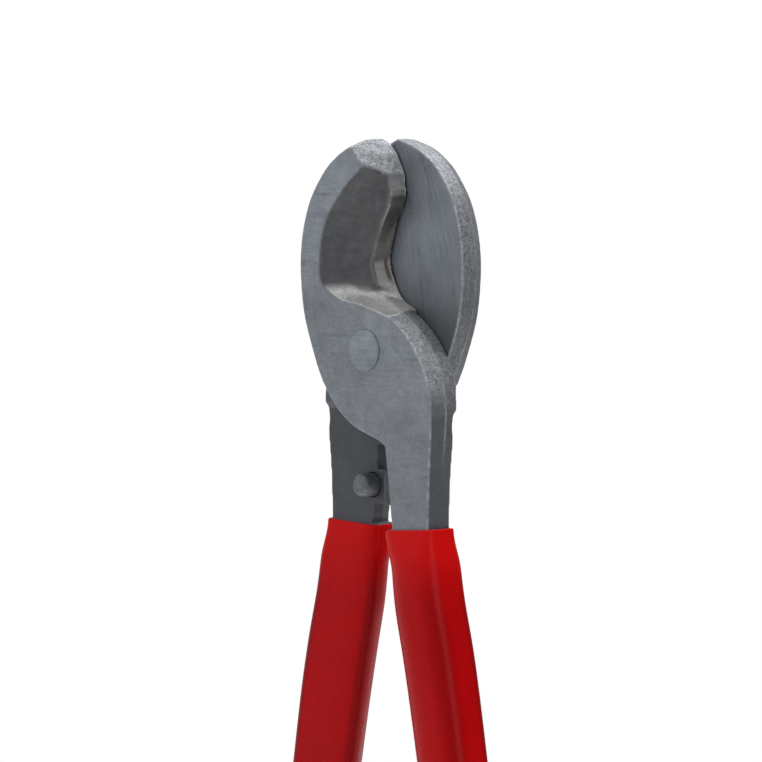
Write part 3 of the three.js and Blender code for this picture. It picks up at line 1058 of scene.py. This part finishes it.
def make_materials(colours):
    groups = {
        "grind": grind_marks(),
        "blast": blasted_grain(),
        "patina": patina(),
        "wear": worn_edge(),
    }
    return {
        "front": steel_material("front_forging_steel", "front", colours, groups),
        "rear": steel_material("rear_forging_steel", "rear", colours, groups),
        "rivet": rivet_material(colours, groups),
        "pin": pin_material(colours, groups),
        "vinyl": vinyl_material(colours, groups),
    }


def material_named(name):
    """A finish by its name, made with the others if it isn't there yet."""
    made = bpy.data.materials.get(name)
    if made is None:
        make_materials(bpy.context.scene.cutter_colours)
        made = bpy.data.materials[name]
    return made


# ---------------------------------------------------------------- stage


def area_light(name, place, size, power):
    """A soft rectangular light turned to the pivot."""
    data = bpy.data.lights.new(name, "AREA")
    data.shape = "RECTANGLE"
    data.size, data.size_y = size
    data.energy = power
    lamp = bpy.data.objects.new(name, data)
    lamp.location = place
    lamp.rotation_euler = (PIVOT - Vector(place)).to_track_quat("-Z", "Y").to_euler()
    bpy.context.scene.collection.objects.link(lamp)


def studio_world():
    """Soft light that is strongest at the front left; the background itself is plain white."""
    world = bpy.data.worlds.new("studio")
    world.use_nodes = True
    bpy.context.scene.world = world
    tree = world.node_tree
    tree.nodes.clear()
    w = Wiring(tree)
    direction = w.add("ShaderNodeTexCoord").outputs["Generated"]
    inputs = {0: direction, 1: BRIGHT_SIDE}
    window = w.add("ShaderNodeVectorMath", inputs, operation="DOT_PRODUCT")
    level = w.span(window.outputs["Value"], -0.9, 0.9, 0.1, 0.85)
    light = w.add("ShaderNodeBackground", {"Strength": level})
    light.inputs["Color"].default_value = (0.94, 0.97, 1.0, 1.0)
    plain = w.add("ShaderNodeBackground", {"Strength": 1.0})
    plain.inputs["Color"].default_value = (1.0, 1.0, 1.0, 1.0)
    seen = w.add("ShaderNodeLightPath").outputs["Is Camera Ray"]
    mixed = w.add("ShaderNodeMixShader", {0: seen, 1: light.outputs[0], 2: plain.outputs[0]})
    output = w.add("ShaderNodeOutputWorld")
    w.feed(output.inputs["Surface"], mixed.outputs[0])


def floor(stage):
    deselect_all()
    bpy.ops.mesh.primitive_circle_add(
        vertices=96, radius=stage.floor_radius, fill_type="NGON", location=(0, 0, -0.5 * MM)
    )
    plane = bpy.context.object
    settle(plane)
    plane.name = "studio_floor"
    material, _, shader = new_material("pale_floor")
    shader.inputs["Base Color"].default_value = (0.86, 0.86, 0.86, 1.0)
    shader.inputs["Roughness"].default_value = 0.9
    plane.data.materials.append(material)


def camera(stage):
    """The camera, with its frame set by its width at the tool."""
    azimuth, elevation = stage.azimuth, stage.elevation
    level = math.cos(elevation)
    back = Vector((math.sin(azimuth) * level, -math.cos(azimuth) * level, math.sin(elevation)))
    right = Vector((math.cos(azimuth), math.sin(azimuth), 0))
    up = back.cross(right)
    target = PIVOT - right * AIM_LEFT - up * AIM_DOWN
    data = bpy.data.cameras.new("camera")
    data.sensor_width = 36
    data.lens = data.sensor_width * stage.distance / stage.frame_width
    data.clip_start = 0.01
    eye = bpy.data.objects.new("camera", data)
    eye.location = target + back * stage.distance
    eye.rotation_euler = Matrix((right, up, back)).transposed().to_euler()
    bpy.context.scene.collection.objects.link(eye)
    bpy.context.scene.camera = eye


# ---------------------------------------------------------------- operators and panel


class CUTTER_OT_materials(bpy.types.Operator):
    """Make the steel and vinyl finishes"""

    bl_idname = "cutter.materials"
    bl_label = "Make Finishes"

    def execute(self, context):
        make_materials(context.scene.cutter_colours)
        return {"FINISHED"}


class CUTTER_OT_forgings(bpy.types.Operator):
    """Build the two forged halves"""

    bl_idname = "cutter.forgings"
    bl_label = "Build Forged Halves"

    def execute(self, context):
        for side in SIDES:
            forged_half(side, context.scene.cutter_sizes, material_named(f"{side}_forging_steel"))
        return {"FINISHED"}


class CUTTER_OT_rivet(bpy.types.Operator):
    """Build the flush rivet"""

    bl_idname = "cutter.rivet"
    bl_label = "Build Rivet"

    def execute(self, context):
        rivet(material_named("ground_rivet"))
        return {"FINISHED"}


class CUTTER_OT_stop_pins(bpy.types.Operator):
    """Build the two stop pins"""

    bl_idname = "cutter.stop_pins"
    bl_label = "Build Stop Pins"

    def execute(self, context):
        for side in SIDES:
            stop_pin(side, material_named("blasted_pin"))
        return {"FINISHED"}


class CUTTER_OT_grips(bpy.types.Operator):
    """Build the two dipped grips"""

    bl_idname = "cutter.grips"
    bl_label = "Build Grips"

    def execute(self, context):
        for side in SIDES:
            grip(side, context.scene.cutter_sizes, material_named("dipped_vinyl"))
        return {"FINISHED"}


class CUTTER_OT_stage(bpy.types.Operator):
    """Set the floor, studio light and camera"""

    bl_idname = "cutter.stage"
    bl_label = "Set Stage"

    def execute(self, context):
        stage = context.scene.cutter_stage
        studio_world()
        floor(stage)
        camera(stage)
        for light in LIGHTS:
            area_light(*light)
        context.scene.view_settings.view_transform = "Standard"
        return {"FINISHED"}


class CUTTER_PT_panel(bpy.types.Panel):
    """Cable cutter builder"""

    bl_label = "Cable Cutter"
    bl_idname = "CUTTER_PT_panel"
    bl_space_type = "VIEW_3D"
    bl_region_type = "UI"
    bl_category = "Cable Cutter"

    def draw(self, context):
        column = self.layout.column()
        for step in STEPS:
            column.operator(step.bl_idname)
        for group in GROUPS:
            settings = getattr(context.scene, group)
            box = self.layout.box()
            for name in settings.__annotations__:
                box.prop(settings, name)


STEPS = (
    CUTTER_OT_stage,
    CUTTER_OT_materials,
    CUTTER_OT_forgings,
    CUTTER_OT_rivet,
    CUTTER_OT_stop_pins,
    CUTTER_OT_grips,
)
GROUPS = {
    "cutter_sizes": CutterSizes,
    "cutter_colours": CutterColours,
    "cutter_stage": CutterStage,
}
CLASSES = (*GROUPS.values(), *STEPS, CUTTER_PT_panel)


def register():
    for cls in CLASSES:
        bpy.utils.register_class(cls)
    for name, group in GROUPS.items():
        setattr(bpy.types.Scene, name, bpy.props.PointerProperty(type=group))


def unregister():
    for name in GROUPS:
        delattr(bpy.types.Scene, name)
    for cls in reversed(CLASSES):
        bpy.utils.unregister_class(cls)


def main():
    register()
    bpy.ops.cutter.stage()
    bpy.ops.cutter.materials()
    bpy.ops.cutter.forgings()
    bpy.ops.cutter.rivet()
    bpy.ops.cutter.stop_pins()
    bpy.ops.cutter.grips()


if __name__ == "__main__":
    main()
